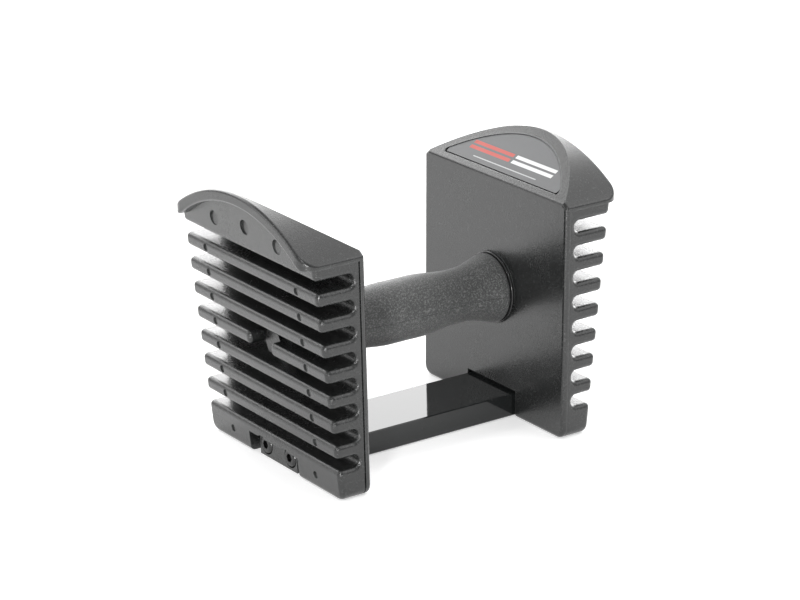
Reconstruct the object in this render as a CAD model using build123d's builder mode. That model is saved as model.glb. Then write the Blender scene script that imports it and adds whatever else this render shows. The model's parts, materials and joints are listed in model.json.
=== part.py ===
"""Handle core of a block-style adjustable dumbbell: two slotted end blocks, a grip and a base bar.

Frame: +X runs along the grip, +Y across it, +Z up. The origin is on the floor, midway between
the two ends. Every piece of the +X end is modelled once, and its twin at the -X end is the same
moulding turned half a turn about Z.
"""
from math import atan, cos, sin, sqrt

from build123d import *

# ---- Driving dimensions (mm) --------------------------------------------------------------
PITCH = 13.0                    # one weight plate step, slot to slot
SLOT_COUNT = 8                  # slots in each end block
SLOT_HEIGHT = 6.0
FLOOR_SLOT_Z = 19.0             # centre height of the lowest slot
WEB = 6.25                      # from the hand-side face to the bottom of a slot

HANDLE_Z = 64.5                 # height of the grip's axis
HALF_GAP = 58.3                 # hand-side face to the middle of the grip, at the grip's height
DRAFT = 0.014                   # the hand-side faces lean apart by this much per mm of height
TAPER = 0.1103                  # the outer faces lean apart by this much per mm of height
OUTER_X = 85.4                  # outer face at the height of the top fin
TOP_FIN_Z = 102.9

BLOCK_WIDTH = 118.6             # slotted block, across Y
COVER_WIDTH = 119.4             # face cover, across Y
COVER_SKIN = 3.0                # thickness of the cover's face plate
SEAM_Z = 119.0                  # joint line between the block and the cover's hood
CREST_Z = 141.9                 # top of the hood
HOOD_SIDE_Z = 121.0             # where the hood's arch meets its sides
VISOR_X = 93.0                  # outermost plane of the hood
HOOD_WALL = 6.0                 # thickness of the hood's arch

LABEL_SLOPE = 0.624             # rise of the label face per mm outward
LABEL_FOOT = (62.0, 124.3)      # x, z of the label face's lower edge
LABEL_RIM = 3.2                 # width of the rim between the hood's arch and the label
LABEL_DEPTH = 1.3               # depth of the label's recess
LABEL_THICKNESS = 1.0
LABEL_GAP = 0.35

TUBE_R = 11.1                   # 7/8 in handle tube
TUBE_BORE_R = 8.6
TUBE_SEAT_X = 61.9              # the tube's ends bear on the block's web here
BOLT_R = 4.0
BOLT_SEAT_X = 64.7
BOLT_POCKET_R = 9.2

BAR_WIDTH = 38.0                # 1 1/2 x 1/2 in flat bar
BAR_THICKNESS = 12.0
BAR_LIFT = 0.5                  # the bar clears the floor by this much
BAR_END_X = 64.0
BAR_SCREW_Y = 10.7
BAR_SCREW_Z = 6.5

REACH = 60.0                    # length of cutters that run out past every face
MARGIN = 1.0                    # start of a cutter before a face, and slack when edges are picked
NEAR = 0.05                     # tolerance when edges are picked by an exact place
BOTH_ENDS = (("right", 0), ("left", 180))


def inner_x(z):
    """X of the hand-side face at height z."""
    return HALF_GAP + DRAFT * (z - HANDLE_Z)


def outer_x(z):
    """X of the slotted outer face at height z."""
    return OUTER_X - TAPER * (TOP_FIN_Z - z)


def arch_radius(inset=0.0):
    """Radius of the hood's arch, through the crest and the two upper side corners."""
    rise = CREST_Z - HOOD_SIDE_Z
    half = COVER_WIDTH / 2
    return (half ** 2 + rise ** 2) / (2 * rise) - inset


ARCH_CENTRE_Z = CREST_Z - arch_radius()


def arch_half_width(inset, z):
    """Half the width of the inset arch at height z."""
    return sqrt(arch_radius(inset) ** 2 - (z - ARCH_CENTRE_Z) ** 2)


def slope_z(x, sink=0.0):
    """Height, at x, of the label face pushed square into the hood by sink."""
    foot_x, foot_z = LABEL_FOOT
    return foot_z + LABEL_SLOPE * (x - foot_x) - sink / cos(atan(LABEL_SLOPE))


def slot_z(number):
    """Centre height of a slot, counted from 0 at the bottom."""
    return FLOOR_SLOT_Z + PITCH * number


def fin_z(number):
    """Centre height of a fin, counted from 1 above the lowest slot; 0 is the base block."""
    return slot_z(number) - PITCH / 2 if number else BASE_MARK_Z


def write_pair(piece, name):
    """Write a +X piece and its twin at the -X end."""
    for side, turn in BOTH_ENDS:
        twin = piece.rotate(Axis.Z, turn)
        twin.label = f"{side}_{name}"
        export_step(twin, f"parts/{twin.label}.step")


def write_single(piece, name):
    """Write a piece that the object has once."""
    piece.label = name
    export_step(piece, f"parts/{name}.step")


# ---- Slotted end block --------------------------------------------------------------------
BASE_CORNER_R = 5.0             # lower corners, seen from the end
OUTER_EDGE_R = 2.7              # edges round the outer face
BACK_EDGE_R = 0.8               # edges that face the cover, which leave a groove beside it
RIM_R = 2.4                     # rounding of the slot mouths
CORE_GAP = 0.1                  # clearance between the block's crown and the hood
SOCKET_GAP = 0.1                # round the handle tube
BOLT_CLEARANCE = 0.4
BAR_GAP = 0.3                   # round the base bar's seat
WINDOW_HALF_WIDTH = 22.0
WINDOW_HEIGHT = 10.8
WINDOW_PANEL_X = 72.0           # face of the panel that the bar's screws go through
WINDOW_PANEL_HALF = 16.5
WINDOW_POCKET_X = 64.5          # bottom of the pockets beside the panel
SCREW_SEAT_X = 69.5
SCREW_POCKET_R = 5.3
SCREW_R = 3.0
SCREW_CLEARANCE = 0.3
MARK_R = 1.9
MARK_DEPTH = 0.8
FIN_MARK_Y = 40.6
BASE_MARK_Y = 37.3
BASE_MARK_Z = 7.2
DISH_R = 3.75
DISH_DEPTH = 0.8
DISH_Y = 28.0
DISH_Z = 122.4
DISH_RISE = 2.5                 # the middle dish sits this much higher


def is_slot_rim(edge):
    """True for the sharp edges where a slot or the bolt pocket's gap opens out of the block."""
    centre = edge.center()
    step = (centre.Z - FLOOR_SLOT_Z) / PITCH
    in_slot = abs(step - round(step)) * PITCH < SLOT_HEIGHT / 2 + NEAR and round(step) >= 0
    outside = abs(centre.Y) > BLOCK_WIDTH / 4 or centre.X > outer_x(centre.Z) - MARGIN
    in_gap = (
        abs(centre.Z - HANDLE_Z) < (PITCH - SLOT_HEIGHT) / 2 + NEAR
        and BOLT_POCKET_R - MARGIN < abs(centre.Y) < BOLT_POCKET_R + SLOT_HEIGHT / 2
        and centre.X > BOLT_SEAT_X + SLOT_HEIGHT / 2
    )
    return round(step) < SLOT_COUNT and in_slot and (outside or in_gap)


def is_gap_corner(edge):
    """True for the upright outer edges of the gap that the bolt pocket leaves in the fin."""
    centre = edge.center()
    at_handle = abs(centre.Z - HANDLE_Z) < NEAR
    at_pocket = abs(abs(centre.Y) - BOLT_POCKET_R) < NEAR
    return at_handle and at_pocket and centre.X > outer_x(HANDLE_Z) - MARGIN


def arch_outline(inset, foot_z, corner_r=0.0):
    """The part of the inset arch above foot_z, with its two lower corners rounded."""
    half = arch_half_width(inset, foot_z)
    with BuildSketch() as outline:
        with BuildLine():
            ThreePointArc((-half, foot_z), (0, CREST_Z - inset), (half, foot_z))
            Line((half, foot_z), (-half, foot_z))
        make_face()
        if corner_r:
            fillet(outline.vertices(), corner_r)
    return outline.sketch


def crown_core(gap):
    """The arch inside the hood, under the slope of the label face, less a gap all round."""
    outline = arch_outline(HOOD_WALL + gap, SEAM_Z)
    back_x = inner_x(SEAM_Z) + COVER_SKIN + gap
    far_x = HALF_GAP + REACH
    sink = COVER_SKIN + LABEL_DEPTH + gap
    with BuildPart() as core:
        with BuildSketch(Plane.YZ.offset(HALF_GAP)):
            add(outline)
        extrude(amount=REACH)
        with BuildSketch(Plane.XZ):
            with BuildLine():
                Polyline(
                    (back_x, SEAM_Z),
                    (back_x, slope_z(back_x, sink)),
                    (far_x, slope_z(far_x, sink)),
                    (far_x, SEAM_Z),
                    close=True,
                )
            make_face()
        extrude(amount=REACH, both=True, mode=Mode.INTERSECT)
    return core.part


def end_block():
    """Slotted moulding that carries the weight plates."""
    back_x = inner_x(0) + COVER_SKIN
    crown = crown_core(CORE_GAP)
    outer_plane = Plane(
        origin=(outer_x(0), 0, 0), x_dir=(0, 1, 0), z_dir=(cos(atan(TAPER)), 0, -sin(atan(TAPER)))
    )
    with BuildPart() as block:
        with BuildSketch(Plane.XZ):
            with BuildLine():
                Polyline(
                    (back_x, 0),
                    (outer_x(0), 0),
                    (outer_x(SEAM_Z), SEAM_Z),
                    (inner_x(SEAM_Z) + COVER_SKIN, SEAM_Z),
                    close=True,
                )
            make_face()
        extrude(amount=BLOCK_WIDTH / 2, both=True)

        # Rounded lower corners, then the edges round the outer face and the face on the cover.
        base_corners = block.faces().sort_by(Axis.Z)[0].edges().filter_by(Axis.X)
        fillet(base_corners, BASE_CORNER_R)
        for face_index, radius in ((-1, OUTER_EDGE_R), (0, BACK_EDGE_R)):
            face = block.faces().sort_by(Axis.X)[face_index]
            fillet([edge for edge in face.edges() if edge.center().Z < SEAM_Z - MARGIN], radius)

        # Crown inside the hood, cut off level with the outer face.
        add(crown)
        split(bisect_by=outer_plane, keep=Keep.BOTTOM)

        # Slots, open at the near, far and outer sides, with round bottoms.
        with BuildSketch(Plane.XZ):
            for number in range(SLOT_COUNT):
                z = slot_z(number)
                with Locations((inner_x(z) + WEB + REACH / 2, z)):
                    SlotOverall(REACH, SLOT_HEIGHT)
        extrude(amount=BLOCK_WIDTH, both=True, mode=Mode.SUBTRACT)

        # Pocket for the handle bolt, which also parts the fin at the grip's height.
        with BuildSketch(Plane.YZ.offset(BOLT_SEAT_X)):
            with Locations((0, HANDLE_Z)):
                Circle(BOLT_POCKET_R)
                Rectangle(2 * BOLT_POCKET_R, PITCH)
        extrude(amount=REACH, mode=Mode.SUBTRACT)

        # Rounded rims round every slot mouth and round the pocket's gap in the fin.
        corners = [edge for edge in block.edges().filter_by(GeomType.LINE) if is_gap_corner(edge)]
        fillet(corners, RIM_R)
        rims = [edge for edge in block.edges() if is_slot_rim(edge)]
        fillet(rims, RIM_R)

        # Socket for the handle tube and clearance hole for its bolt.
        with BuildSketch(Plane.YZ.offset(TUBE_SEAT_X)):
            with Locations((0, HANDLE_Z)):
                Circle(TUBE_R + SOCKET_GAP)
        extrude(amount=-REACH, mode=Mode.SUBTRACT)
        with BuildSketch(Plane.YZ.offset(TUBE_SEAT_X)):
            with Locations((0, HANDLE_Z)):
                Circle(BOLT_R + BOLT_CLEARANCE)
        extrude(amount=REACH, mode=Mode.SUBTRACT)

        # Seat for the base bar, window over its screws, and deep pockets at the window's sides.
        with BuildSketch(Plane.YZ.offset(BAR_END_X)):
            with Locations((0, 0)):
                Rectangle(BAR_WIDTH + 2 * BAR_GAP, 2 * (BAR_LIFT + BAR_THICKNESS + BAR_GAP))
        extrude(amount=-REACH, mode=Mode.SUBTRACT)
        with BuildSketch(Plane.YZ.offset(WINDOW_PANEL_X)):
            Rectangle(2 * WINDOW_HALF_WIDTH, 2 * WINDOW_HEIGHT)
        extrude(amount=REACH, mode=Mode.SUBTRACT)
        with BuildSketch(Plane.YZ.offset(WINDOW_POCKET_X)):
            for side in (-1, 1):
                with Locations((side * (WINDOW_HALF_WIDTH + WINDOW_PANEL_HALF) / 2, 0)):
                    Rectangle(WINDOW_HALF_WIDTH - WINDOW_PANEL_HALF, 2 * WINDOW_HEIGHT)
        extrude(amount=REACH, mode=Mode.SUBTRACT)
        with BuildSketch(Plane.YZ.offset(SCREW_SEAT_X)):
            with Locations((-BAR_SCREW_Y, BAR_SCREW_Z), (BAR_SCREW_Y, BAR_SCREW_Z)):
                Circle(SCREW_POCKET_R)
        extrude(amount=REACH, mode=Mode.SUBTRACT)
        with BuildSketch(Plane.YZ.offset(BAR_END_X)):
            with Locations((-BAR_SCREW_Y, BAR_SCREW_Z), (BAR_SCREW_Y, BAR_SCREW_Z)):
                Circle(SCREW_R + SCREW_CLEARANCE)
        extrude(amount=REACH, mode=Mode.SUBTRACT)

        # Shallow round marks in the outer faces of the fins and of the base block.
        for number in range(SLOT_COUNT):
            z = fin_z(number)
            offset = FIN_MARK_Y if number else BASE_MARK_Y
            with BuildSketch(Plane.YZ.offset(outer_x(z) - MARK_DEPTH)):
                with Locations((-offset, z), (offset, z)):
                    Circle(MARK_R)
            extrude(amount=REACH, mode=Mode.SUBTRACT)

        # Shallow dishes in the panel under the visor.
        with BuildSketch(Plane.YZ.offset(outer_x(DISH_Z) - DISH_DEPTH)):
            with Locations((-DISH_Y, DISH_Z), (0, DISH_Z + DISH_RISE), (DISH_Y, DISH_Z)):
                Circle(DISH_R)
        extrude(amount=REACH, mode=Mode.SUBTRACT)
    return block


# ---- Face cover: hand-side face plate and hood in one moulding ----------------------------
COVER_CORNER_R = 5.6            # lower corners, seen from the end
HOOD_SIDE_R = 5.0               # corners between the hood's arch and its sides
HOOD_PLAN_R = 8.5               # outer corners of the hood, seen from above
FACE_EDGE_R = 2.0               # rounded outline of the hand-side face
VISOR_EDGE_R = 1.6
PAD_R = 18.8                    # flat seat for the grip's collar
PAD_X = 58.2
BAR_NOTCH_HALF = 20.5
BAR_NOTCH_TOP = 14.2
LABEL_CORNER_R = 0.9
RECESS_OPENING = 5.0            # the recess cutter stands this far out of the label face


def label_solid(inset, foot_z, sink, height):
    """A slab of the label's outline, from sink below the label face up by height."""
    outline = arch_outline(inset, foot_z, LABEL_CORNER_R)
    far_x = HALF_GAP + REACH
    with BuildPart() as slab:
        with BuildSketch(Plane.YZ.offset(HALF_GAP)):
            add(outline)
        extrude(amount=REACH)
        with BuildSketch(Plane.XZ):
            with BuildLine():
                Polyline(
                    (HALF_GAP, slope_z(HALF_GAP, sink)),
                    (far_x, slope_z(far_x, sink)),
                    (far_x, slope_z(far_x, sink - height)),
                    (HALF_GAP, slope_z(HALF_GAP, sink - height)),
                    close=True,
                )
            make_face()
        extrude(amount=REACH, both=True, mode=Mode.INTERSECT)
    return slab.part


def face_cover():
    """Face plate and hood in one moulding, hooked over the block's crown."""
    half = COVER_WIDTH / 2
    top_z = CREST_Z + MARGIN / 2
    slope_top_x = LABEL_FOOT[0] + (top_z - LABEL_FOOT[1]) / LABEL_SLOPE
    cavity = crown_core(0)
    recess = label_solid(LABEL_RIM, LABEL_FOOT[1], LABEL_DEPTH, LABEL_DEPTH + RECESS_OPENING)
    with BuildPart() as cover:
        # Outline seen from the end: round lower corners and an arched top.
        with BuildSketch(Plane.YZ.offset(inner_x(0) - MARGIN)) as outline:
            with BuildLine():
                Polyline((-half, HOOD_SIDE_Z), (-half, 0), (half, 0), (half, HOOD_SIDE_Z))
                ThreePointArc((half, HOOD_SIDE_Z), (0, CREST_Z), (-half, HOOD_SIDE_Z))
            make_face()
            lower, upper = outline.vertices().group_by(Axis.Y)
            fillet(lower, COVER_CORNER_R)
            fillet(upper, HOOD_SIDE_R)
        extrude(amount=REACH)

        # Outline seen from the side: thin plate below, hood with its sloping label face above.
        with BuildSketch(Plane.XZ):
            with BuildLine():
                Polyline(
                    (inner_x(0), 0),
                    (inner_x(0) + COVER_SKIN, 0),
                    (inner_x(SEAM_Z) + COVER_SKIN, SEAM_Z),
                    (VISOR_X, SEAM_Z),
                    (VISOR_X, top_z),
                    (slope_top_x, top_z),
                    (inner_x(LABEL_FOOT[1]), slope_z(inner_x(LABEL_FOOT[1]))),
                    close=True,
                )
            make_face()
        extrude(amount=half, both=True, mode=Mode.INTERSECT)

        # Outline seen from above: round outer corners.
        with BuildSketch() as plan:
            with Locations((VISOR_X - REACH, 0)):
                Rectangle(2 * REACH, COVER_WIDTH)
            fillet(plan.vertices().group_by(Axis.X)[-1], HOOD_PLAN_R)
        extrude(amount=top_z, mode=Mode.INTERSECT)

        # Rounded edges of the hand side, then the hollows, then the visor's rounded nose.
        hand_face = cover.faces().sort_by(Axis.X)[0]
        fillet([edge for edge in hand_face.edges() if edge.center().Z > MARGIN], FACE_EDGE_R)
        add(cavity, mode=Mode.SUBTRACT)
        add(recess, mode=Mode.SUBTRACT)
        visor = cover.faces().filter_by(Axis.X).sort_by(Axis.X)[-1]
        fillet(visor.edges(), VISOR_EDGE_R)

        # Flat seat for the grip's collar, hole for the handle tube, notch for the base bar.
        with BuildSketch(Plane.YZ.offset(PAD_X)) as pad:
            with Locations((0, HANDLE_Z)):
                Circle(PAD_R)
        extrude(amount=COVER_SKIN / 2)
        extrude(pad.sketch, amount=-COVER_SKIN / 2, mode=Mode.SUBTRACT)
        with BuildSketch(Plane.YZ.offset(PAD_X - MARGIN)):
            with Locations((0, HANDLE_Z)):
                Circle(TUBE_R + SOCKET_GAP)
            Rectangle(2 * BAR_NOTCH_HALF, 2 * BAR_NOTCH_TOP)
        extrude(amount=2 * COVER_SKIN, mode=Mode.SUBTRACT)
    return cover


block = end_block()
write_pair(block.part, "end_block")

cover = face_cover()
write_pair(cover.part, "face_cover")

# ---- Label plates -------------------------------------------------------------------------
label_part = label_solid(
    LABEL_RIM + LABEL_GAP, LABEL_FOOT[1] + LABEL_GAP, LABEL_DEPTH, LABEL_THICKNESS
)
with BuildPart() as label_plate:
    add(label_part)
write_pair(label_plate.part, "label_plate")

# ---- Handle: tube, threaded inserts, bolts and washers ------------------------------------
INSERT_LENGTH = 16.0
THREAD_GAP = 0.05
WASHER_R = 8.5
WASHER_T = 1.6
LOCK_R = 7.0
LOCK_T = 2.0
BOLT_HEAD_AF = 13.0
BOLT_HEAD_T = 5.3
BOLT_LENGTH = 22.0
BOLT_POINT = 0.8
LOCK_SPLIT = 1.2                # width of the lock washer's split
LOCK_SPLIT_TURN = 20            # degrees
handle_centre = (0, HANDLE_Z)

with BuildPart() as handle_tube:
    with BuildSketch(Plane.YZ):
        with Locations(handle_centre):
            Circle(TUBE_R)
            Circle(TUBE_BORE_R, mode=Mode.SUBTRACT)
    extrude(amount=TUBE_SEAT_X, both=True)
write_single(handle_tube.part, "handle_tube")

with BuildPart() as tube_insert:
    with BuildSketch(Plane.YZ.offset(TUBE_SEAT_X)):
        with Locations(handle_centre):
            Circle(TUBE_BORE_R)
            Circle(BOLT_R + THREAD_GAP, mode=Mode.SUBTRACT)
    extrude(amount=-INSERT_LENGTH)
write_pair(tube_insert.part, "tube_insert")

with BuildPart() as handle_washer:
    with BuildSketch(Plane.YZ.offset(BOLT_SEAT_X)):
        with Locations(handle_centre):
            Circle(WASHER_R)
            Circle(BOLT_R + BOLT_CLEARANCE, mode=Mode.SUBTRACT)
    extrude(amount=WASHER_T)
write_pair(handle_washer.part, "handle_washer")

lock_x = BOLT_SEAT_X + WASHER_T
with BuildPart() as lock_washer:
    with BuildSketch(Plane.YZ.offset(lock_x)):
        with Locations(handle_centre):
            Circle(LOCK_R)
            Circle(BOLT_R + BOLT_CLEARANCE, mode=Mode.SUBTRACT)
        with Locations((0, HANDLE_Z + LOCK_R)):
            Rectangle(LOCK_SPLIT, 2 * LOCK_R, rotation=LOCK_SPLIT_TURN, mode=Mode.SUBTRACT)
    extrude(amount=LOCK_T)
write_pair(lock_washer.part, "lock_washer")

head_x = lock_x + LOCK_T
with BuildPart() as handle_bolt:
    with BuildSketch(Plane.YZ.offset(head_x)):
        with Locations(handle_centre):
            RegularPolygon(BOLT_HEAD_AF / 2, 6, major_radius=False)
    extrude(amount=BOLT_HEAD_T)
    with BuildSketch(Plane.YZ.offset(head_x)):
        with Locations(handle_centre):
            Circle(BOLT_R)
    extrude(amount=-BOLT_LENGTH)
    chamfer(handle_bolt.edges().sort_by(Axis.X)[0], BOLT_POINT)
write_pair(handle_bolt.part, "handle_bolt")

# ---- Grip and its collars -----------------------------------------------------------------
GRIP_HALF = 56.8
GRIP_END_R = 18.3
COLLAR_T = 1.25
COLLAR_R = 18.7
COLLAR_GAP = 0.1                # between the grip's end and its collar
COLLAR_EDGE_R = 0.5
GRIP_EDGE_R = 1.4
# Radius of the grip along its half length: belly, neck and flare.
GRIP_PROFILE = ((0, 15.7), (14.5, 15.5), (22, 14.6), (33, 13.8), (45, 15.1), (54, 17.7))

with BuildPart() as grip_sleeve:
    with BuildSketch(Plane.XZ) as half_section:
        with BuildLine():
            flank = [(x, HANDLE_Z + r) for x, r in GRIP_PROFILE]
            tail = (GRIP_HALF, HANDLE_Z + GRIP_END_R)
            Spline(*flank, tail, tangents=((1, 0), (1, 0.25)))
            Polyline(
                tail,
                (GRIP_HALF, HANDLE_Z + TUBE_R + THREAD_GAP),
                (0, HANDLE_Z + TUBE_R + THREAD_GAP),
                flank[0],
            )
        make_face()
        mirror(about=Plane.YZ)
    revolve(axis=Axis((0, 0, HANDLE_Z), (1, 0, 0)))
    ends = [
        e for e in grip_sleeve.edges().filter_by(GeomType.CIRCLE)
        if e.radius > TUBE_R + MARGIN and abs(e.center().X) > MARGIN
    ]
    fillet(ends, GRIP_EDGE_R)
write_single(grip_sleeve.part, "grip_sleeve")

with BuildPart() as grip_collar:
    with BuildSketch(Plane.YZ.offset(GRIP_HALF + COLLAR_GAP)):
        with Locations(handle_centre):
            Circle(COLLAR_R)
            Circle(TUBE_R + THREAD_GAP, mode=Mode.SUBTRACT)
    extrude(amount=COLLAR_T)
    rims = grip_collar.edges().filter_by(GeomType.CIRCLE)
    fillet([e for e in rims if e.radius > TUBE_R + MARGIN], COLLAR_EDGE_R)
write_pair(grip_collar.part, "grip_collar")

# ---- Base bar and its screws --------------------------------------------------------------
BAR_HOLE_DEPTH = 20.0
BAR_EDGE = 0.5
SCREW_LENGTH = 20.0
SCREW_HEAD_R = 4.75
SCREW_HEAD_T = 3.3
SCREW_HEAD_EDGE_R = 1.6
SCREW_SOCKET_AF = 4.0
SCREW_SOCKET_DEPTH = 1.8
screw_centres = ((-BAR_SCREW_Y, BAR_SCREW_Z), (BAR_SCREW_Y, BAR_SCREW_Z))

with BuildPart() as base_bar:
    with BuildSketch(Plane.YZ):
        with Locations((0, BAR_LIFT + BAR_THICKNESS / 2)):
            Rectangle(BAR_WIDTH, BAR_THICKNESS)
    extrude(amount=BAR_END_X, both=True)
    chamfer(base_bar.edges().filter_by(Axis.X), BAR_EDGE)
    for side in (-1, 1):
        with BuildSketch(Plane.YZ.offset(side * BAR_END_X)):
            with Locations(*screw_centres):
                Circle(SCREW_R + THREAD_GAP)
        extrude(amount=-side * BAR_HOLE_DEPTH, mode=Mode.SUBTRACT)
write_single(base_bar.part, "base_bar")

with BuildPart() as bar_screws:
    with BuildSketch(Plane.YZ.offset(SCREW_SEAT_X)):
        with Locations(*screw_centres):
            Circle(SCREW_HEAD_R)
    extrude(amount=SCREW_HEAD_T)
    fillet(bar_screws.edges().group_by(Axis.X)[-1], SCREW_HEAD_EDGE_R)
    with BuildSketch(Plane.YZ.offset(SCREW_SEAT_X)):
        with Locations(*screw_centres):
            Circle(SCREW_R)
    extrude(amount=-SCREW_LENGTH)
    with BuildSketch(Plane.YZ.offset(SCREW_SEAT_X + SCREW_HEAD_T)):
        with Locations(*screw_centres):
            RegularPolygon(SCREW_SOCKET_AF / 2, 6, major_radius=False)
    extrude(amount=-SCREW_SOCKET_DEPTH, mode=Mode.SUBTRACT)
write_pair(bar_screws.part, "bar_screws")
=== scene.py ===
import json
import math

import bpy
from mathutils import Matrix, Vector


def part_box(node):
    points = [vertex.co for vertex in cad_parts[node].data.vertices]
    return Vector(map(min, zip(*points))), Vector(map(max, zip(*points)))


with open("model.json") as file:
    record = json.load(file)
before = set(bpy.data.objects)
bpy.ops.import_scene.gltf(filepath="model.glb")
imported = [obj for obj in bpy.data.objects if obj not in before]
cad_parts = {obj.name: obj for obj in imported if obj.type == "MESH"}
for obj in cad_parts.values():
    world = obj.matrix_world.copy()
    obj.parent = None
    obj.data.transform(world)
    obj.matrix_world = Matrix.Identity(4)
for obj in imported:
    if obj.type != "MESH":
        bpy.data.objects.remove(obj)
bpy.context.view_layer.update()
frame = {"nodes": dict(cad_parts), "record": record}
nodes = frame["nodes"]


# ---- Node material helpers ----------------------------------------------------------------
class Maker:
    """Short hands for building one node material."""

    def __init__(self, name):
        self.material = bpy.data.materials.new(name)
        self.material.use_nodes = True
        self.tree = self.material.node_tree
        self.tree.nodes.clear()
        self.output = self.node("ShaderNodeOutputMaterial")
        self.shader = self.node("ShaderNodeBsdfPrincipled")
        self.link(self.shader.outputs[0], self.output.inputs[0])
        self.place = self.node("ShaderNodeTexCoord").outputs["Object"]

    def node(self, kind, **settings):
        made = self.tree.nodes.new(kind)
        for key, value in settings.items():
            setattr(made, key, value)
        return made

    def link(self, source, target):
        self.tree.links.new(source, target)

    def set(self, **values):
        """Values of the shader's own sockets."""
        for key, value in values.items():
            self.shader.inputs[key.replace("_", " ")].default_value = value

    def noise(self, size, detail=2.0, rough=0.5):
        """Noise whose features are about size metres across, as a 0 to 1 value."""
        noise = self.node("ShaderNodeTexNoise")
        noise.inputs["Scale"].default_value = 1 / size
        noise.inputs["Detail"].default_value = detail
        noise.inputs["Roughness"].default_value = rough
        self.link(self.place, noise.inputs["Vector"])
        return noise.outputs["Fac"]

    def ramp(self, value, low, high, start, end):
        """value between low and high, mapped to start to end and held there."""
        made = self.node("ShaderNodeMapRange")
        made.inputs["From Min"].default_value = low
        made.inputs["From Max"].default_value = high
        made.inputs["To Min"].default_value = start
        made.inputs["To Max"].default_value = end
        self.link(value, made.inputs["Value"])
        return made.outputs[0]

    def math(self, operation, first, second):
        made = self.node("ShaderNodeMath", operation=operation)
        for socket, value in zip(made.inputs, (first, second)):
            if isinstance(value, (int, float)):
                socket.default_value = value
            else:
                self.link(value, socket)
        return made.outputs[0]

    def mix(self, factor, first, second):
        """A colour between two, which may be sockets or (r, g, b)."""
        made = self.node("ShaderNodeMix", data_type="RGBA")
        self.link(factor, made.inputs["Factor"])
        for socket, value in zip((made.inputs[6], made.inputs[7]), (first, second)):
            if isinstance(value, tuple):
                socket.default_value = (*value, 1)
            else:
                self.link(value, socket)
        return made.outputs[2]

    def bump(self, height, depth, under=None):
        """A bump of depth metres from a 0 to 1 height, on top of another bump."""
        made = self.node("ShaderNodeBump")
        made.inputs["Strength"].default_value = 1.0
        made.inputs["Distance"].default_value = depth
        self.link(height, made.inputs["Height"])
        if under:
            self.link(under, made.inputs["Normal"])
        return made.outputs[0]

    def axes(self):
        split = self.node("ShaderNodeSeparateXYZ")
        self.link(self.place, split.inputs[0])
        return split.outputs


FLAT_COSINE = 0.995            # cosine of the bevel's turn where a face still counts as flat
EDGE_COSINE = 0.90             # and where it counts fully as an edge


def edge_mask(m, radius):
    """1 on sharp or tightly rounded edges, 0 on flat faces; radius in metres."""
    bevel = m.node("ShaderNodeBevel", samples=4)
    bevel.inputs["Radius"].default_value = radius
    flat = m.node("ShaderNodeNewGeometry")
    turned = m.node("ShaderNodeVectorMath", operation="DOT_PRODUCT")
    m.link(bevel.outputs[0], turned.inputs[0])
    m.link(flat.outputs["Normal"], turned.inputs[1])
    return m.ramp(turned.outputs["Value"], FLAT_COSINE, EDGE_COSINE, 0.0, 1.0)


SPECK_SHARE = 0.55             # how strongly the specks show
SPECK_GAIN = 4.5               # specks, and rubbed edges with their painted highlight, as multiples of the plastic's lighter tone
EDGE_WEAR_AND_HIGHLIGHT_GAIN = 6.0
EDGE_WEAR_AND_HIGHLIGHT_RADIUS = 0.0010
PLASTIC_ROUGHNESS = 0.22
PLASTIC_LIGHT = (0.013, 0.0136, 0.0135)


def brighter(colour, gain):
    return tuple(gain * channel for channel in colour)


def moulded_plastic(name, dark, light, grain_depth, roughness):
    """Charcoal moulded plastic: fine grain, faint clouds, pale specks, rubbed edges that also carry a
    painted highlight, and a clear skin.
    """
    m = Maker(name)
    grain = m.noise(0.0009, 4.0, 0.7)
    clouds = m.noise(0.03, 3.0, 0.6)
    specks = m.ramp(m.noise(0.0011, 2.0, 0.6), 0.56, 0.72, 0.0, 1.0)
    wear_and_highlight_breakup = m.ramp(m.noise(0.006, 3.0), 0.35, 0.6, 0.2, 0.6)
    # Edge mask broken up by noise: partly rubbed wear, partly a painted highlight along the edges.
    edge_wear_and_highlight = m.math("MULTIPLY", edge_mask(m, EDGE_WEAR_AND_HIGHLIGHT_RADIUS), wear_and_highlight_breakup)
    base = m.mix(clouds, dark, light)
    base = m.mix(m.math("MULTIPLY", specks, SPECK_SHARE), base, brighter(light, SPECK_GAIN))
    # Lightens the edges, partly as rubbed wear and partly as a painted highlight.
    base = m.mix(edge_wear_and_highlight, base, brighter(light, EDGE_WEAR_AND_HIGHLIGHT_GAIN))
    m.link(base, m.shader.inputs["Base Color"])
    rough = m.ramp(clouds, 0.3, 0.7, roughness - 0.05, roughness + 0.07)
    grain_rough = m.ramp(grain, 0.3, 0.7, -0.06, 0.06)
    m.link(m.math("ADD", rough, grain_rough), m.shader.inputs["Roughness"])
    m.link(m.bump(grain, grain_depth), m.shader.inputs["Normal"])
    m.set(IOR=1.52, Coat_Weight=0.2, Coat_Roughness=0.16, Coat_IOR=1.5)
    return m.material


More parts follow.
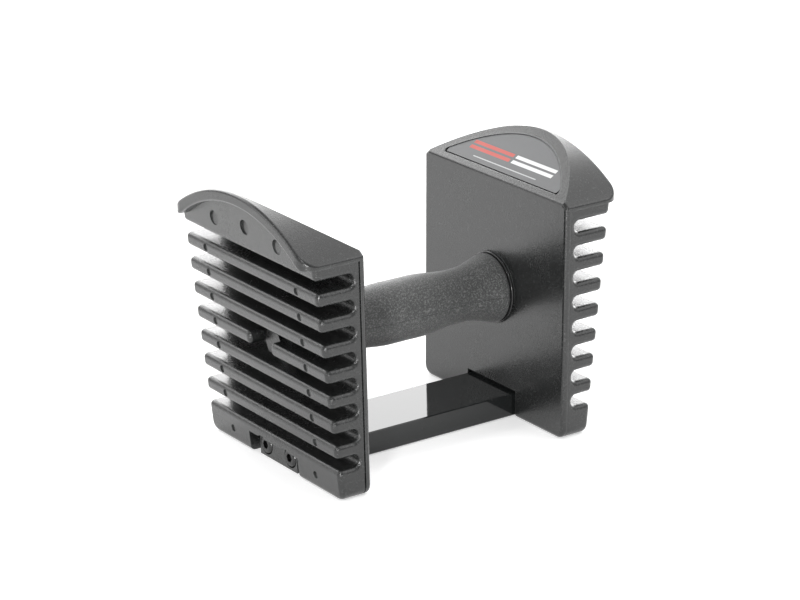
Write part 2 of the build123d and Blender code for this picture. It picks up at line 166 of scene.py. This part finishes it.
def grip_rubber():
    """Charcoal grip rubber with a fine low fleck and a moulding line at mid height."""
    m = Maker("grip_rubber")
    fleck = m.ramp(m.noise(0.0008, 3.0, 0.75), 0.48, 0.66, 0.0, 1.0)
    pits = m.noise(0.00045, 2.0, 0.6)
    height = m.axes()[2]
    grip_low, grip_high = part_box("grip_sleeve")
    off_line = m.math("ABSOLUTE", m.math("SUBTRACT", height, (grip_low[2] + grip_high[2]) / 2), 0)
    line = m.ramp(off_line, 0.00010, 0.00024, 1.0, 0.0)
    tone = m.mix(fleck, (0.030, 0.031, 0.031), (0.128, 0.130, 0.127))
    tone = m.mix(m.math("MULTIPLY", line, 0.4), tone, (0.012, 0.012, 0.012))
    m.link(tone, m.shader.inputs["Base Color"])
    m.link(m.ramp(pits, 0.3, 0.7, 0.42, 0.60), m.shader.inputs["Roughness"])
    line_bump = m.bump(line, -0.0003)
    m.link(m.bump(pits, 0.00022, under=line_bump), m.shader.inputs["Normal"])
    m.set(IOR=1.5, Sheen_Weight=0.15, Sheen_Roughness=0.5)
    return m.material


def gloss_paint(name, colour, roughness, ripple):
    """Gloss enamel with a slight ripple and dust."""
    m = Maker(name)
    dust = m.ramp(m.noise(0.0016, 2.0), 0.68, 0.76, 0.0, 1.0)
    tone = m.mix(m.math("MULTIPLY", dust, 0.3), colour, (0.05, 0.05, 0.05))
    m.link(tone, m.shader.inputs["Base Color"])
    rough = m.ramp(m.noise(0.02, 3.0), 0.3, 0.7, roughness, roughness * 1.6)
    m.link(rough, m.shader.inputs["Roughness"])
    m.link(m.bump(m.noise(0.004, 1.0), ripple), m.shader.inputs["Normal"])
    m.set(IOR=1.5)
    return m.material


def steel(name, dark, light, roughness):
    """Plated or blackened steel."""
    m = Maker(name)
    m.link(m.mix(m.noise(0.003, 4.0, 0.7), dark, light), m.shader.inputs["Base Color"])
    rough = m.ramp(m.noise(0.0012, 3.0), 0.3, 0.7, roughness, roughness + 0.12)
    m.link(rough, m.shader.inputs["Roughness"])
    m.link(m.bump(m.noise(0.0004, 2.0), 0.00003), m.shader.inputs["Normal"])
    m.set(Metallic=1.0)
    return m.material


def band(m, value, low, high, soft=0.00008):
    """1 where value lies between low and high metres."""
    rise = m.ramp(value, low - soft, low + soft, 0.0, 1.0)
    fall = m.ramp(value, high - soft, high + soft, 1.0, 0.0)
    return m.math("MULTIPLY", rise, fall)


PALE_PRINT = (0.62, 0.63, 0.63)
RED_PRINT = (0.42, 0.045, 0.03)
STRIPES = (0.0690, 0.0720)             # distance out along X of each printed stripe's lower edge
STRIPE_WIDTH = 0.0018
STRIPE_SPAN = 0.034                    # half length of the pair of stripes
FINE_LINE = (0.0655, 0.0660)
FINE_LINE_SPAN = 0.026


def label_film():
    """Satin grey film with plain printed stripes, red on one half and pale on the other."""
    m = Maker("label_film")
    outward, across, _ = m.axes()
    side = m.math("SIGN", outward, 0)
    reach = m.math("ABSOLUTE", outward, 0)
    along = m.math("MULTIPLY", across, side)
    mottle = m.noise(0.012, 3.0)
    film = m.mix(mottle, (0.075, 0.077, 0.079), (0.095, 0.097, 0.100))
    stripes = m.math("ADD", *(band(m, reach, low, low + STRIPE_WIDTH) for low in STRIPES))
    pale = m.math("MULTIPLY", stripes, band(m, along, -STRIPE_SPAN, -0.001))
    red = m.math("MULTIPLY", stripes, band(m, along, 0.001, STRIPE_SPAN))
    fine_length = band(m, along, -FINE_LINE_SPAN, FINE_LINE_SPAN)
    fine = m.math("MULTIPLY", band(m, reach, *FINE_LINE), fine_length)
    colour = m.mix(pale, film, PALE_PRINT)
    colour = m.mix(red, colour, RED_PRINT)
    colour = m.mix(m.math("MULTIPLY", fine, 0.6), colour, PALE_PRINT)
    m.link(colour, m.shader.inputs["Base Color"])
    m.link(m.ramp(mottle, 0.3, 0.7, 0.34, 0.42), m.shader.inputs["Roughness"])
    m.link(m.bump(m.noise(0.0008, 2.0), 0.00002), m.shader.inputs["Normal"])
    m.set(IOR=1.5)
    return m.material


MATERIALS = {
    "block_plastic": moulded_plastic(
        "block_plastic", (0.008, 0.0084, 0.0083), PLASTIC_LIGHT, 0.00018, PLASTIC_ROUGHNESS),
    "cover_plastic": moulded_plastic(
        "cover_plastic", (0.008, 0.0084, 0.0084), PLASTIC_LIGHT, 0.00008, PLASTIC_ROUGHNESS),
    "label_film": label_film(),
    "grip_rubber": grip_rubber(),
    "collar_plastic": gloss_paint("collar_plastic", (0.015, 0.015, 0.015), 0.12, 0.00001),
    "bar_paint": gloss_paint("bar_paint", (0.010, 0.011, 0.011), 0.03, 0.000004),
    "plain_steel": steel("plain_steel", (0.45, 0.45, 0.46), (0.6, 0.6, 0.61), 0.28),
    "black_steel": steel("black_steel", (0.05, 0.05, 0.05), (0.09, 0.09, 0.09), 0.2),
}
for part in frame["record"]["subparts"]:
    node = nodes[part["node"]]
    node.data.materials.clear()
    node.data.materials.append(MATERIALS[part["material_slot"]])

# ---- Studio: pale floor, white surround with a lit backdrop, soft lights ------------------
FLOOR_SIZE = 12.0
FLOOR_GLOW = 0.44               # fills the shadows, as a lit table does
GLOW_SOFTNESS = 0.35            # width of the backdrop glow's edge, as a cosine
SURROUND_STRENGTH = 0.56
GLOW_STRENGTH = 4.7
GLOW_AZIMUTH = math.radians(55)
GLOW_EDGE = 0.55                # cosine of the angle where the glow begins
BODY_MIDDLE = (0, 0, 0.07)


def studio_floor():
    bpy.ops.mesh.primitive_plane_add(size=FLOOR_SIZE)
    floor = bpy.context.object
    floor.name = "studio_floor"
    m = Maker("studio_floor")
    tone = m.noise(0.4, 2.0)
    m.link(m.mix(tone, (0.76, 0.76, 0.76), (0.78, 0.78, 0.78)), m.shader.inputs["Base Color"])
    m.set(Roughness=0.9, Emission_Color=(1, 1, 1, 1), Emission_Strength=FLOOR_GLOW)
    floor.data.materials.append(m.material)


def soft_light(name, place, target, size, watts):
    light = bpy.data.lights.new(name, "AREA")
    light.shape = "RECTANGLE"
    light.size, light.size_y = size
    light.energy = watts
    lamp = bpy.data.objects.new(name, light)
    lamp.location = place
    lamp.rotation_euler = (Vector(target) - Vector(place)).to_track_quat("-Z", "Y").to_euler()
    bpy.context.scene.collection.objects.link(lamp)


def surround(base, glow, glow_azimuth, glow_width):
    """Even surround, brighter low down in one direction, as from a lit backdrop."""
    world = bpy.data.worlds.new("studio")
    bpy.context.scene.world = world
    world.use_nodes = True
    tree = world.node_tree
    background = tree.nodes["Background"]
    background.inputs["Color"].default_value = (1, 1, 1, 1)
    place = tree.nodes.new("ShaderNodeTexCoord")
    toward = tree.nodes.new("ShaderNodeVectorMath")
    toward.operation = "DOT_PRODUCT"
    toward.inputs[1].default_value = (math.cos(glow_azimuth), math.sin(glow_azimuth), 0)
    spread = tree.nodes.new("ShaderNodeMapRange")
    spread.interpolation_type = "SMOOTHSTEP"
    spread.inputs["From Min"].default_value = glow_width
    spread.inputs["From Max"].default_value = glow_width + GLOW_SOFTNESS
    spread.inputs["To Min"].default_value = base
    spread.inputs["To Max"].default_value = glow
    tree.links.new(place.outputs["Generated"], toward.inputs[0])
    tree.links.new(toward.outputs["Value"], spread.inputs["Value"])
    tree.links.new(spread.outputs[0], background.inputs["Strength"])


studio_floor()
surround(SURROUND_STRENGTH, GLOW_STRENGTH, GLOW_AZIMUTH, GLOW_EDGE)
soft_light("overhead", (0.6, 0.1, 1.6), (0, 0, 0.05), (1.6, 1.6), 9)
soft_light("front_right", (0.75, -0.75, 0.9), BODY_MIDDLE, (0.9, 0.9), 4)
soft_light("back_window", (-0.3, 1.3, 0.93), BODY_MIDDLE, (0.9, 0.6), 6)
soft_light("left_wall", (-1.5, 1.0, 0.7), BODY_MIDDLE, (1.0, 1.0), 7)
soft_light("edge_strip", (-0.95, -0.95, 0.09), (0, 0, 0.08), (0.12, 0.20), 9)
soft_light("front_left", (-1.0, -0.9, 1.2), BODY_MIDDLE, (0.14, 0.14), 7)

# ---- Camera -------------------------------------------------------------------------------
CAMERA_AIM = Vector((-0.0009, -0.0033, 0.0708))
CAMERA_DISTANCE = 1.4665
CAMERA_YAW = math.radians(55.415)      # heading, from +X towards +Y
CAMERA_PITCH = math.radians(-19.562)
CAMERA_ROLL = math.radians(-0.718)
FOCAL_LENGTH = 133.35                  # mm on a 36 mm wide sensor


def studio_camera():
    camera = bpy.data.cameras.new("camera")
    camera.lens = FOCAL_LENGTH
    camera.sensor_width = 36.0
    camera.clip_end = 50.0
    holder = bpy.data.objects.new("camera", camera)
    bpy.context.scene.collection.objects.link(holder)
    ahead = Vector((
        math.cos(CAMERA_PITCH) * math.cos(CAMERA_YAW),
        math.cos(CAMERA_PITCH) * math.sin(CAMERA_YAW),
        math.sin(CAMERA_PITCH),
    ))
    level_right = ahead.cross(Vector((0, 0, 1))).normalized()
    level_up = level_right.cross(ahead)
    right = level_right * math.cos(CAMERA_ROLL) + level_up * math.sin(CAMERA_ROLL)
    up = level_up * math.cos(CAMERA_ROLL) - level_right * math.sin(CAMERA_ROLL)
    turn = Matrix((right, up, -ahead)).transposed()
    place = CAMERA_AIM - ahead * CAMERA_DISTANCE
    holder.matrix_world = Matrix.Translation(place) @ turn.to_4x4()
    bpy.context.scene.camera = holder


studio_camera()
bpy.context.scene.view_settings.view_transform = "Standard"
